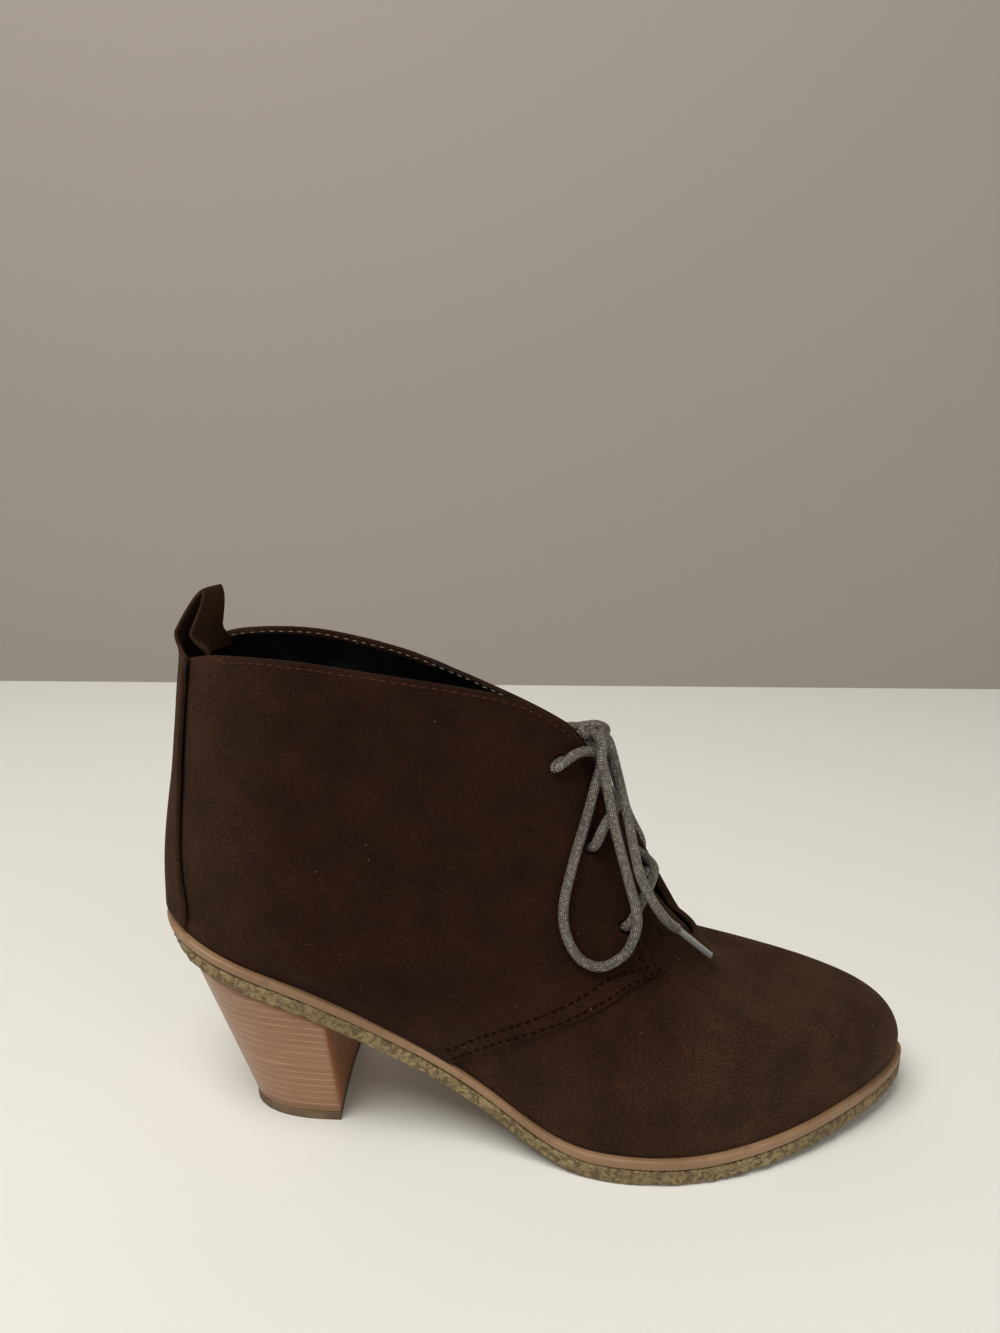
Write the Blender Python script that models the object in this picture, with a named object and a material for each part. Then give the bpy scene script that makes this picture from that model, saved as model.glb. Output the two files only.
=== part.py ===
"""Heeled lace-up ankle boot for the right foot, standing empty on its sole.

Metres, +Z up. +X runs to the toe, -Y is the outer (lateral) side, the floor is Z = 0 and the
origin lies under the middle of the sole. Every form of the upper is read from one surface,
skin(turn, level): turn goes round the boot from the toe (0) by the outer side to the back seam
(pi) and home by the inner side, and level goes from the feather line (0) to the collar (1).
"""
import math
from collections import namedtuple

import bmesh
import bpy
from mathutils import Vector

# Driving sizes
LENGTH = 0.2405
BALL_LATERAL = 0.0460
BALL_MEDIAL = 0.0415
SEAT_RISE = 0.0610
TOE_SPRING = 0.0065
TOE_SWING = 0.0045
COLLAR_BACK_HEIGHT = 0.1480
FACING_TOP_HEIGHT = 0.1190
COLLAR_CREST = 0.0130

# Sole
CREPE = 0.0053
STRIP = 0.0030
EDGE_ROUND = 0.0007
FEATHER_INSET = 0.0014
HEEL_UNDERCUT = 0.0048
INSOLE = 0.0025
INSOLE_INSET = 0.0034
GAP = 0.0003

# Upper and tongue
WALL = 0.0018
OVERLAP_STEP = 0.0012
TONGUE = 0.0018
TONGUE_GAP = 0.0009
TONGUE_LAP = 0.0080
SEAM_FOOT_X = -0.0275
SEAM_BOW = 0.0045
LATERAL_CORNER_GAP = 0.0195
MEDIAL_CORNER_GAP = 0.0115
TOP_GAP = 0.0075
EYELET_RADIUS = 0.0022

# Heel, back strap and lace
HEEL_BREAST_TOP_X = -0.0660
HEEL_BREAST_FOOT_X = -0.0642
HEEL_BREAST_HOLLOW = 0.0008
HEEL_BACK_FOOT_X = -0.0950
HEEL_FOOT_WIDTH = 0.0406
HEEL_SEAT_INSET = 0.0012
TOP_PIECE = 0.0030
STRAP = 0.0014
STRAP_WIDTH = 0.0190
STRAP_FOOT_WIDTH = 0.0430
LOOP_HEIGHT = 0.0220
LACE = 0.0030
AGLET = 0.0022
KNOT_LENGTH, KNOT_WIDTH, KNOT_HEIGHT = 0.0094, 0.0090, 0.0066

HALF = LENGTH / 2
AXIS_Y = (BALL_LATERAL - BALL_MEDIAL) / 2
LATERAL, MEDIAL = -1, 1

# Half widths of the sole's outline before its ends are rounded, as shares of the ball's
Plan = namedtuple("Plan", "along lateral medial")
SOLE_PLAN = (
    Plan(0.00, 0.665, 0.690),
    Plan(0.16, 0.665, 0.680),
    Plan(0.24, 0.685, 0.655),
    Plan(0.33, 0.675, 0.615),
    Plan(0.42, 0.730, 0.650),
    Plan(0.50, 0.845, 0.760),
    Plan(0.58, 0.970, 0.900),
    Plan(0.66, 1.000, 1.010),
    Plan(0.74, 0.980, 1.060),
    Plan(0.82, 0.930, 1.040),
    Plan(0.90, 0.850, 0.980),
    Plan(1.00, 0.770, 0.930),
)
HEEL_END, HEEL_FULLNESS = 0.16, 2.3
TOE_END, TOE_FULLNESS = 0.62, 1.8

# Height of the sole's underside: seat as a share of SEAT_RISE, toe as a share of TOE_SPRING
Profile = namedtuple("Profile", "along seat toe")
SOLE_PROFILE = (
    Profile(0.000, 1.000, 0.00),
    Profile(0.050, 0.955, 0.00),
    Profile(0.115, 0.860, 0.00),
    Profile(0.175, 0.770, 0.00),
    Profile(0.240, 0.664, 0.00),
    Profile(0.330, 0.470, 0.00),
    Profile(0.400, 0.315, 0.00),
    Profile(0.475, 0.118, 0.00),
    Profile(0.515, 0.030, 0.00),
    Profile(0.550, 0.000, 0.00),
    Profile(0.670, 0.000, 0.00),
    Profile(0.760, 0.000, 0.16),
    Profile(0.850, 0.000, 0.40),
    Profile(0.930, 0.000, 0.68),
    Profile(1.000, 0.000, 1.00),
)

# Loops of the upper, evenly spaced in level. Places along X are shares of HALF, heights are
# shares of the rise from feather to collar at that end, half widths are shares of the ball's
# at the four STATIONS along the loop, and slim narrows the inner side. Drop and crest say how
# much of the feather's and of the collar's own curve the loop keeps.
Loop = namedtuple("Loop", "back_x back_z front_x front_z heel waist ball toe slim drop crest")
UPPER_LOOPS = (
    Loop(-0.980, 0.00, 0.980, 0.000, 0.650, 0.665, 0.950, 0.520, 1.00, 1.00, 0.00),
    Loop(-0.984, 0.10, 0.984, 0.058, 0.692, 0.700, 0.985, 0.570, 0.96, 0.88, 0.00),
    Loop(-0.978, 0.22, 0.958, 0.134, 0.692, 0.712, 0.945, 0.600, 0.95, 0.72, 0.00),
    Loop(-0.967, 0.34, 0.886, 0.200, 0.674, 0.708, 0.855, 0.600, 0.94, 0.56, 0.00),
    Loop(-0.953, 0.46, 0.740, 0.235, 0.640, 0.697, 0.745, 0.540, 0.92, 0.42, 0.00),
    Loop(-0.939, 0.57, 0.535, 0.262, 0.596, 0.674, 0.675, 0.470, 0.92, 0.26, 0.00),
    Loop(-0.929, 0.68, 0.410, 0.430, 0.550, 0.640, 0.612, 0.400, 0.96, 0.08, 0.06),
    Loop(-0.920, 0.78, 0.308, 0.634, 0.494, 0.596, 0.550, 0.350, 0.98, 0.00, 0.18),
    Loop(-0.911, 0.89, 0.210, 0.832, 0.438, 0.539, 0.480, 0.300, 0.98, 0.00, 0.48),
    Loop(-0.900, 1.00, 0.125, 1.000, 0.382, 0.472, 0.405, 0.260, 1.00, 0.00, 1.00),
)
STATIONS = (0.15, 0.40, 0.64, 0.88)
BACK_FULLNESS, FRONT_FULLNESS = 2.15, 2.0

# Over the lowest levels the upper leaves the sole's outline, and the inner side hollows at
# the waist: depth as a share of the half width, with its middle and spread along the loop
FEATHER_LEVELS = 0.11
HOLLOW, HOLLOW_AT, HOLLOW_SPREAD, HOLLOW_LEVELS = 0.12, 0.36, 0.17, 0.45

# Rise of the collar above a straight line from its back to its front, as a share of its crest
Crest = namedtuple("Crest", "along lateral medial")
COLLAR = (
    Crest(0.00, 0.00, 0.00),
    Crest(0.06, 0.40, 0.54),
    Crest(0.14, 0.67, 0.75),
    Crest(0.33, 1.04, 1.00),
    Crest(0.50, 1.16, 1.00),
    Crest(0.64, 1.22, 0.83),
    Crest(0.78, 1.24, 0.61),
    Crest(0.86, 1.04, 0.46),
    Crest(0.93, 0.62, 0.28),
    Crest(1.00, 0.00, 0.00),
)

# The quarter's front corner and the throat a row above it
ROWS = 18
CORNER_ROW = 11
THROAT_ROW = CORNER_ROW + 1
CORNER_LEVEL = CORNER_ROW / ROWS

# The three pairs of eyelets, each set back from the facing's edge by so many units
UNIT = LENGTH / 240.5
Eyelet = namedtuple("Eyelet", "name level back")
EYELETS = (
    Eyelet("lower", 0.675, 11.0),
    Eyelet("middle", 0.800, 16.5),
    Eyelet("upper", 0.925, 16.8),
)

# Half gap between the facings from the corner to the collar, as a share of the way from the
# corner's gap to the gap at the top
Facing = namedtuple("Facing", "rise share")
FACING = (
    Facing(0.00, 0.00),
    Facing(0.18, 0.30),
    Facing(0.45, 0.72),
    Facing(0.75, 0.96),
    Facing(1.00, 1.00),
)

# Middle line of the pull loop above the collar's back: forward in metres, rise as a share of
# LOOP_HEIGHT, and how much of the collar's own curve it takes across its width
Fold = namedtuple("Fold", "forward rise bow")
PULL_LOOP = (
    Fold(-0.0012, 0.16, 0.80),
    Fold(0.0000, 0.36, 0.62),
    Fold(0.0024, 0.58, 0.45),
    Fold(0.0052, 0.79, 0.30),
    Fold(0.0080, 0.94, 0.20),
    Fold(0.0101, 0.98, 0.15),
    Fold(0.0115, 0.88, 0.15),
    Fold(0.0110, 0.68, 0.20),
    Fold(0.0094, 0.44, 0.35),
    Fold(0.0075, 0.20, 0.60),
    Fold(0.0056, -0.06, 0.90),
    Fold(0.0042, -0.30, 1.05),
)

# A strand that crosses from its own eyelet towards the far facing: share of the facing's turn
# (1 on its own edge, -1 on the far one), share of the rise to the next pair, lace widths off
Strand = namedtuple("Strand", "share rise out")
CROSSING = (
    Strand(1.00, 0.50, 1.36),
    Strand(0.55, 0.62, 0.75),
    Strand(0.00, 0.75, 0.27),
    Strand(-0.38, 0.85, -0.05),
    Strand(-0.66, 0.92, -0.16),
)

# The tied lace, in units from the knot's middle, which lies above the skin's front
Place = namedtuple("Place", "forward side up")
KNOT_PLACE = Place(-0.6, -1.3, 6.8)
TOP_STRAND = (
    Place(-12.1, -16.3, -5.8),
    Place(-9.4, -14.6, -4.8),
    Place(-5.9, -13.4, -2.6),
    Place(-2.6, -10.4, -2.6),
    Place(1.0, -7.6, -4.0),
    Place(2.8, -3.4, -5.6),
    Place(2.9, 1.0, -6.3),
    Place(2.6, 5.0, -7.0),
    Place(1.0, 11.0, -8.2),
    Place(-4.6, 16.6, -9.2),
    Place(-10.4, 18.2, -9.2),
)
LATERAL_LOOP = (
    Place(1.0, -5.2, 0.4),
    Place(2.2, -10.0, -1.0),
    Place(1.9, -13.2, -4.3),
    Place(3.5, -14.6, -11.8),
    Place(6.0, -18.7, -23.8),
    Place(9.5, -20.8, -36.7),
    Place(12.2, -23.6, -46.4),
    Place(12.5, -25.0, -52.5),
    Place(9.4, -25.0, -60.7),
    Place(2.2, -28.0, -63.2),
    Place(-4.3, -28.7, -60.0),
    Place(-8.2, -27.8, -52.7),
    Place(-8.9, -25.8, -44.5),
    Place(-6.3, -21.9, -33.3),
    Place(-2.5, -16.9, -21.7),
    Place(0.2, -12.4, -12.8),
    Place(1.7, -9.0, -8.4),
)
LATERAL_END = (
    Place(4.4, -3.6, -1.6),
    Place(5.8, -5.5, -5.6),
    Place(8.0, -7.5, -14.0),
    Place(9.8, -13.5, -21.5),
    Place(11.6, -18.5, -29.9),
    Place(13.5, -21.8, -37.3),
    Place(17.2, -23.0, -44.6),
    Place(21.8, -21.4, -51.6),
    Place(25.4, -17.8, -56.1),
)
LATERAL_AGLET = (Place(25.9, -17.2, -56.8), Place(37.7, -8.5, -70.6))
MEDIAL_LOOP = (
    Place(2.2, 5.4, 0.0),
    Place(4.0, 9.5, -3.0),
    Place(6.5, 12.8, -12.0),
    Place(9.5, 18.6, -24.0),
    Place(14.0, 19.9, -36.0),
    Place(18.0, 17.6, -44.0),
    Place(17.5, 19.2, -50.0),
    Place(12.5, 21.6, -50.0),
    Place(8.5, 23.2, -43.0),
    Place(5.0, 21.8, -31.0),
    Place(2.6, 17.4, -18.0),
    Place(3.0, 16.2, -10.0),
)
MEDIAL_END = (
    Place(-1.4, 5.5, 0.6),
    Place(-3.8, 13.2, -2.0),
    Place(-9.2, 19.8, -4.8),
    Place(-14.2, 21.8, -11.4),
    Place(-16.2, 22.8, -20.0),
    Place(-17.3, 25.2, -28.0),
    Place(-18.5, 27.6, -35.0),
)
MEDIAL_AGLET = (Place(-18.6, 27.8, -35.8), Place(-20.0, 30.3, -47.5))

VAMP_COLUMNS = 17
QUARTER_COLUMNS = 16
STEP_COLUMNS = 4
SOLE_COLUMNS = 40
HEEL_COLUMNS = 28


def column(table, name):
    return [getattr(row, name) for row in table]


def smooth(places, values, at):
    """Reads values between places on a smooth curve that never overshoots them."""
    if at <= places[0]:
        return values[0]
    if at >= places[-1]:
        return values[-1]
    last = len(places) - 1
    rise = [(values[i + 1] - values[i]) / (places[i + 1] - places[i]) for i in range(last)]

    def slope(i):
        if i in (0, last):
            return rise[min(i, last - 1)]
        before, after = rise[i - 1], rise[i]
        return 2 * before * after / (before + after) if before * after > 0 else 0.0

    k = max(i for i in range(last) if places[i] <= at)
    span = places[k + 1] - places[k]
    u = (at - places[k]) / span
    start = values[k] * (1 + 2 * u) * (1 - u) ** 2 + slope(k) * span * u * (1 - u) ** 2
    return start + values[k + 1] * (3 - 2 * u) * u * u - slope(k + 1) * span * (1 - u) * u * u


def round_end(distance, fullness):
    """Share of the full width at a distance (0 to 1) towards a rounded end."""
    return (1 - min(1.0, max(0.0, distance)) ** fullness) ** (1 / fullness)


def find(test, low, high):
    """The place between low, where test is below zero, and high, where it is above."""
    for _ in range(40):
        middle = (low + high) / 2
        low, high = (middle, high) if test(middle) < 0 else (low, middle)
    return (low + high) / 2


def side_of(turn):
    return LATERAL if math.sin(turn) >= 0 else MEDIAL


# Sole: plan and profile

def centre_y(x):
    """The line from heel to toe tip, which swings to the inner side over the toes."""
    return AXIS_Y + TOE_SWING * max(0.0, (x - HALF / 3) / (HALF * 2 / 3)) ** 2


def sole_ends(along):
    heel = round_end((HEEL_END - along) / HEEL_END, HEEL_FULLNESS)
    return heel * round_end((along - TOE_END) / (1 - TOE_END), TOE_FULLNESS)


def sole_half_width(along, side):
    name, ball = ("lateral", BALL_LATERAL) if side == LATERAL else ("medial", BALL_MEDIAL)
    return smooth(column(SOLE_PLAN, "along"), column(SOLE_PLAN, name), along) * ball * sole_ends(along)


def sole_point(turn, inset, undercut):
    """A point of the sole's outline, inset all round and cut in further under the heel."""
    along = (1 + math.cos(turn)) / 2
    back = -HALF + inset + undercut * max(0.0, 1 - along / HEEL_END) ** 2
    x = back + (HALF - inset - back) * along
    half_width = sole_half_width(along, side_of(turn)) - inset * sole_ends(along)
    return x, centre_y(x) + side_of(turn) * half_width


def underside(x):
    along = (x + HALF) / LENGTH
    places = column(SOLE_PROFILE, "along")
    seat = SEAT_RISE * smooth(places, column(SOLE_PROFILE, "seat"), along)
    return seat + TOE_SPRING * smooth(places, column(SOLE_PROFILE, "toe"), along)


STRIP_FOOT = CREPE + GAP
STRIP_TOP = STRIP_FOOT + STRIP
FEATHER = STRIP_TOP + GAP


# Upper: one surface

def loop_value(name, level):
    count = len(UPPER_LOOPS) - 1
    return smooth([i / count for i in range(count + 1)], column(UPPER_LOOPS, name), level)


def loop_ends(along):
    return round_end(1 - 2 * along, BACK_FULLNESS) * round_end(2 * along - 1, FRONT_FULLNESS)


def upper_half_width(along, side, level):
    names = ("heel", "waist", "ball", "toe")
    full = [loop_value(name, level) / loop_ends(station) for name, station in zip(names, STATIONS)]
    width = smooth(STATIONS, full, along) * BALL_LATERAL * loop_ends(along)
    if side == MEDIAL:
        width *= loop_value("slim", level)
        hollow = math.exp(-((along - HOLLOW_AT) / HOLLOW_SPREAD) ** 2)
        width *= 1 - HOLLOW * hollow * max(0.0, 1 - level / HOLLOW_LEVELS)
    feather = sole_half_width(along, side) - FEATHER_INSET * sole_ends(along)
    return width + (feather - width) * max(0.0, 1 - level / FEATHER_LEVELS)


def skin(turn, level):
    """The upper's outer surface where it has no step."""
    side = side_of(turn)
    along = (1 + math.cos(turn)) / 2
    back_x = HALF * loop_value("back_x", level)
    front_x = HALF * loop_value("front_x", level)
    x = back_x + (front_x - back_x) * along
    y = centre_y(x) + side * upper_half_width(along, side, level)

    back_end, front_end = HALF * UPPER_LOOPS[0].back_x, HALF * UPPER_LOOPS[0].front_x
    foot_back = underside(back_end) + FEATHER
    foot_front = underside(front_end) + FEATHER
    back_z = foot_back + (COLLAR_BACK_HEIGHT - foot_back) * loop_value("back_z", level)
    front_z = foot_front + (FACING_TOP_HEIGHT - foot_front) * loop_value("front_z", level)
    straight = back_z + (front_z - back_z) * along

    foot_z = underside(back_end + (front_end - back_end) * along) + FEATHER
    drop = foot_z - (foot_back + (foot_front - foot_back) * along)
    name = "lateral" if side == LATERAL else "medial"
    crest = COLLAR_CREST * smooth(column(COLLAR, "along"), column(COLLAR, name), along)
    return Vector((x, y, straight + drop * loop_value("drop", level) + crest * loop_value("crest", level)))


def outward(turn, level):
    """The skin's unit normal, pointing out of the boot."""
    small = 1e-3
    low, high = max(0.0, level - small), min(1.0, level + small)
    round_the_boot = skin(turn + small, level) - skin(turn - small, level)
    up_the_boot = skin(turn, high) - skin(turn, low)
    return up_the_boot.cross(round_the_boot).normalized()


def offset_skin(turn, level, out):
    """A point off the skin, which on the feather line keeps to the height of the sole's top."""
    point = skin(turn, level) + outward(turn, level) * out
    if level == 0:
        point.z = underside(point.x) + FEATHER
    return point


def on_side(side, turn):
    """Mirrors a turn of the outer side, 0 to pi, to the side asked for."""
    return turn if side == LATERAL else 2 * math.pi - turn


def turn_at_half_width(side, level, half_width, front):
    """Where a loop is as wide as asked, near its front or near its back."""
    def short(turn):
        return upper_half_width((1 + math.cos(turn)) / 2, side, level) - half_width

    if front:
        return find(short, 0.0, 0.45 * math.pi)
    return find(lambda turn: -short(turn), 0.55 * math.pi, math.pi)


def corner_gap(side):
    return LATERAL_CORNER_GAP if side == LATERAL else MEDIAL_CORNER_GAP


def facing_gap(side, level):
    """Half gap between the facings; below the corner it stays the corner's."""
    rise = (level - CORNER_LEVEL) / (1 - CORNER_LEVEL)
    share = smooth(column(FACING, "rise"), column(FACING, "share"), rise)
    return corner_gap(side) + (TOP_GAP - corner_gap(side)) * share


def facing_turn(side, level):
    return turn_at_half_width(side, level, facing_gap(side, level), True)


def seam_turn(side, level):
    """Where a loop meets the quarter's lower edge, a bowed line that rises from the feather."""
    corner = skin(on_side(side, facing_turn(side, CORNER_LEVEL)), CORNER_LEVEL)
    foot_z = underside(SEAM_FOOT_X) + FEATHER

    def above(turn):
        point = skin(on_side(side, turn), level)
        share = (point.x - SEAM_FOOT_X) / (corner.x - SEAM_FOOT_X)
        bow = SEAM_BOW * 4 * max(0, share * (1 - share))
        return point.z - (foot_z + (corner.z - foot_z) * share + bow)

    return find(above, 0.01, 0.8 * math.pi)


def edge_turn(side, level):
    """The quarter's front edge: its seam over the vamp, then the facing."""
    return seam_turn(side, level) if level < CORNER_LEVEL - 1e-6 else facing_turn(side, level)


def eyelet_turn(side, eyelet):
    """Turn of an eyelet's middle on the skin."""
    edge = facing_turn(side, eyelet.level)
    start = skin(on_side(side, edge), eyelet.level)

    def beyond(turn):
        return (skin(on_side(side, turn), eyelet.level) - start).length - eyelet.back * UNIT

    return on_side(side, find(beyond, edge, math.pi))


# Materials and objects

def material(name, colour, roughness, metallic=0.0):
    made = bpy.data.materials.new(name)
    made.use_nodes = True
    shader = made.node_tree.nodes["Principled BSDF"]
    shader.inputs["Base Color"].default_value = (*colour, 1.0)
    shader.inputs["Roughness"].default_value = roughness
    shader.inputs["Metallic"].default_value = metallic
    return made


def mesh_object(name, shade, points, faces):
    """A closed mesh object with its faces turned outwards."""
    mesh = bpy.data.meshes.new(name)
    mesh.from_pydata(points, [], faces)
    made = bmesh.new()
    made.from_mesh(mesh)
    bmesh.ops.recalc_face_normals(made, faces=made.faces)
    made.to_mesh(mesh)
    made.free()
    mesh.materials.append(shade)
    mesh.shade_smooth()
    mesh.set_sharp_from_angle(angle=math.radians(40))
    placed = bpy.data.objects.new(name, mesh)
    bpy.context.collection.objects.link(placed)
    return placed


def ladder_solid(name, shade, rings):
    """A solid through rings of points, with rungs across its first and last ring."""
    count = len(rings[0])
    points = [point for ring in rings for point in ring]
    faces = []
    for start in range(0, (len(rings) - 1) * count, count):
        for i in range(count):
            j = (i + 1) % count
            faces.append((start + i, start + j, start + count + j, start + count + i))
    for start in (0, (len(rings) - 1) * count):
        for i in range(count // 2):
            rungs = (i, i + 1, count - i - 1, (count - i) % count)
            faces.append([start + k for k in dict.fromkeys(rungs)])
    return mesh_object(name, shade, points, faces)


def sheet_solid(name, shade, outer, inner):
    """A solid between two grids of points, closed by a strip round their edges."""
    rows, columns = len(outer), len(outer[0])
    points = [point for row in outer + inner for point in row]
    depth = rows * columns
    faces = []
    for i in range(rows - 1):
        for j in range(columns - 1):
            a = i * columns + j
            faces.append((a, a + 1, a + columns + 1, a + columns))
            faces.append((depth + a, depth + a + columns, depth + a + columns + 1, depth + a + 1))
    rim = list(range(columns))
    rim += [i * columns + columns - 1 for i in range(1, rows)]
    rim += [(rows - 1) * columns + j for j in range(columns - 2, -1, -1)]
    rim += [i * columns for i in range(rows - 2, 0, -1)]
    for a, b in zip(rim, rim[1:] + rim[:1]):
        faces.append((a, depth + a, depth + b, b))
    return mesh_object(name, shade, points, faces)


def cut(target, cutter):
    cutter.hide_render = True
    cutter.display_type = "WIRE"
    boolean = target.modifiers.new("cut_" + cutter.name, "BOOLEAN")
    boolean.operation = "DIFFERENCE"
    boolean.solver = "EXACT"
    boolean.object = cutter


# Pieces of the sole

def sole_ring(inset, undercut, height):
    ring = []
    for i in range(SOLE_COLUMNS * 2):
        x, y = sole_point(math.pi * i / SOLE_COLUMNS, inset, HEEL_UNDERCUT * undercut)
        ring.append((x, y, underside(x) + height))
    return ring


def build_outsole():
    shade = material("crepe_rubber", (0.30, 0.22, 0.10), 0.85)
    rings = [
        sole_ring(EDGE_ROUND, 1.0, 0.0),
        sole_ring(0.0, 0.85, EDGE_ROUND),
        sole_ring(0.0, 0.45, CREPE - EDGE_ROUND),
        sole_ring(EDGE_ROUND, 0.40, CREPE),
    ]
    return ladder_solid("outsole", shade, rings)


def build_midsole():
    shade = material("smooth_strip", (0.34, 0.20, 0.12), 0.55)
    rings = [
        sole_ring(EDGE_ROUND, 0.35, STRIP_FOOT),
        sole_ring(0.0, 0.30, STRIP_FOOT + EDGE_ROUND),
        sole_ring(0.0, 0.15, STRIP_TOP - EDGE_ROUND),
        sole_ring(EDGE_ROUND, 0.15, STRIP_TOP),
    ]
    return ladder_solid("midsole", shade, rings)


def build_insole():
    shade = material("insole_lining", (0.012, 0.011, 0.011), 0.4)
    inset = FEATHER_INSET + INSOLE_INSET
    foot = STRIP_TOP + GAP
    rings = [
        sole_ring(inset, 0.0, foot),
        sole_ring(inset, 0.0, foot + INSOLE - EDGE_ROUND),
        sole_ring(inset + EDGE_ROUND, 0.0, foot + INSOLE),
    ]
    return ladder_solid("insole", shade, rings)


def signed_power(value, power):
    return math.copysign(abs(value) ** power, value)


def heel_ring(share, low, clearance):
    """The heel's outline at a share of its height, from the middle of the breast by the outer side."""
    seat_back = -HALF + HEEL_UNDERCUT + HEEL_SEAT_INSET
    ring = []
    for i in range(HEEL_COLUMNS + 1):
        swing = math.pi * (0.5 + i / HEEL_COLUMNS)
        foot_depth = HEEL_BREAST_FOOT_X - HEEL_BACK_FOOT_X
        foot_x = HEEL_BREAST_FOOT_X + foot_depth * signed_power(math.cos(swing), 0.8)
        foot_y = AXIS_Y - HEEL_FOOT_WIDTH / 2 * signed_power(math.sin(swing), 0.72)
        seat_x = HEEL_BREAST_TOP_X + (HEEL_BREAST_TOP_X - seat_back) * math.cos(swing)
        side = LATERAL if i <= HEEL_COLUMNS // 2 else MEDIAL
        along = (seat_x - seat_back) / LENGTH
        inset = HEEL_SEAT_INSET * sole_ends(along)
        seat_y = centre_y(seat_x) + side * (sole_half_width(along, side) - inset)
        top = underside(seat_x) - clearance
        place = (foot_x + (seat_x - foot_x) * share, foot_y + (seat_y - foot_y) * share)
        ring.append((*place, low + (top - low) * share))
    (outer_x, outer_y, z), (inner_x, inner_y, _) = ring[0], ring[-1]
    middle = ((outer_x + inner_x) / 2 - HEEL_BREAST_HOLLOW, (outer_y + inner_y) / 2, z)
    return [middle] + ring


def build_heel():
    shade = material("stacked_heel", (0.42, 0.20, 0.11), 0.45)
    rings = [heel_ring(share, TOP_PIECE + GAP, GAP) for share in (0.0, 1 / 3, 2 / 3, 1.0)]
    return ladder_solid("heel_block", shade, rings)


def build_top_piece():
    shade = material("top_piece_rubber", (0.10, 0.08, 0.055), 0.7)
    return ladder_solid("top_piece", shade, [heel_ring(0.0, 0.0, GAP), heel_ring(0.0, TOP_PIECE, GAP)])


# The upper

def build_upper():
    """Vamp and quarters as one hollow wall, with the quarters a step proud along their edge."""
    shade = material("brown_nap", (0.055, 0.028, 0.018), 0.95)
    half = VAMP_COLUMNS + QUARTER_COLUMNS
    around = 2 * half
    turns = {}
    for i in range(ROWS + 1):
        for side in (LATERAL, MEDIAL):
            edge = edge_turn(side, i / ROWS)
            for j in range(half + 1):
                behind = max(0, j - VAMP_COLUMNS) / QUARTER_COLUMNS
                turn = edge * min(1.0, j / VAMP_COLUMNS) + (math.pi - edge) * behind
                turns[i, j if side == LATERAL else (around - j) % around] = on_side(side, turn)

    def from_front(j):
        return min(j, around - j)

    points, index = [], {}

    def vertex(kind, i, j):
        """kind is inner, vamp or quarter."""
        j %= around
        if (kind, i, j) not in index:
            out = 0.0
            if kind == "inner":
                out = -WALL
            elif kind == "quarter":
                out = OVERLAP_STEP * max(0.0, 1 - (from_front(j) - VAMP_COLUMNS) / STEP_COLUMNS)
            index[kind, i, j] = len(points)
            points.append(offset_skin(turns[i, j], i / ROWS, out))
        return index[kind, i, j]

    def zone(i, j):
        """What covers the cell above row i and after column j."""
        if min(from_front(j), from_front(j + 1)) < VAMP_COLUMNS:
            return "vamp" if i < THROAT_ROW else None
        return "quarter"

    faces = []
    for i in range(ROWS):
        for j in range(around):
            kind = zone(i, j)
            if kind:
                low, high = ((i, j), (i, j + 1)), ((i + 1, j + 1), (i + 1, j))
                faces.append([vertex(kind, *place) for place in low + high])
                faces.append([vertex("inner", *place) for place in reversed(low + high)])

    def rim(kind, start, end):
        """Closes the wall along an open edge, round the step's own corner where it has one."""
        def outer(place):
            under = [vertex("vamp", *place)] if ("vamp", place[0], place[1] % around) in index else []
            return [vertex("quarter", *place)] + under if kind == "quarter" else under

        inner = [vertex("inner", *start), vertex("inner", *end)]
        faces.append(inner + outer(end)[::-1] + outer(start))

    for j in range(around):
        rim(zone(0, j), (0, j), (0, j + 1))
        top = ROWS if zone(ROWS - 1, j) else THROAT_ROW
        rim(zone(top - 1, j), (top, j), (top, j + 1))
    for j in (VAMP_COLUMNS, around - VAMP_COLUMNS):
        for i in range(THROAT_ROW):
            step = [vertex("vamp", i, j), vertex("vamp", i + 1, j)]
            faces.append(step + [vertex("quarter", i + 1, j), vertex("quarter", i, j)])
        for i in range(THROAT_ROW, ROWS):
            rim("quarter", (i, j), (i + 1, j))
    upper = mesh_object("upper", shade, points, faces)

    for side, side_name in ((LATERAL, "lateral"), (MEDIAL, "medial")):
        for eyelet in EYELETS:
            turn = eyelet_turn(side, eyelet)
            bpy.ops.mesh.primitive_cylinder_add(
                vertices=12, radius=EYELET_RADIUS, depth=8 * WALL, location=skin(turn, eyelet.level),
                rotation=outward(turn, eyelet.level).to_track_quat("Z", "Y").to_euler(),
            )
            cutter = bpy.context.object
            cutter.name = f"eyelet_cutter_{side_name}_{eyelet.name}"
            cut(upper, cutter)
    return upper


def build_tongue():
    """Tongue that follows the skin inside the facings, from under the vamp to below the collar."""
    shade = material("tongue_nap", (0.050, 0.026, 0.017), 0.95)
    outer, inner = [], []
    rows, columns = 16, 10
    lowest, highest = CORNER_LEVEL - 0.03, 0.955
    top_side = -(WALL + TONGUE_GAP)
    for i in range(rows + 1):
        level = lowest + (highest - lowest) * i / rows
        outer_row, inner_row = [], []
        for j in range(columns + 1):
            share = 1 - 2 * j / columns
            side = LATERAL if share > 0 else MEDIAL
            reach = turn_at_half_width(side, level, facing_gap(side, level) + TONGUE_LAP, True)
            outer_row.append(offset_skin(share * reach, level, top_side))
            inner_row.append(offset_skin(share * reach, level, top_side - TONGUE))
        outer.append(outer_row)
        inner.append(inner_row)
    return sheet_solid("tongue", shade, outer, inner)


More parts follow.
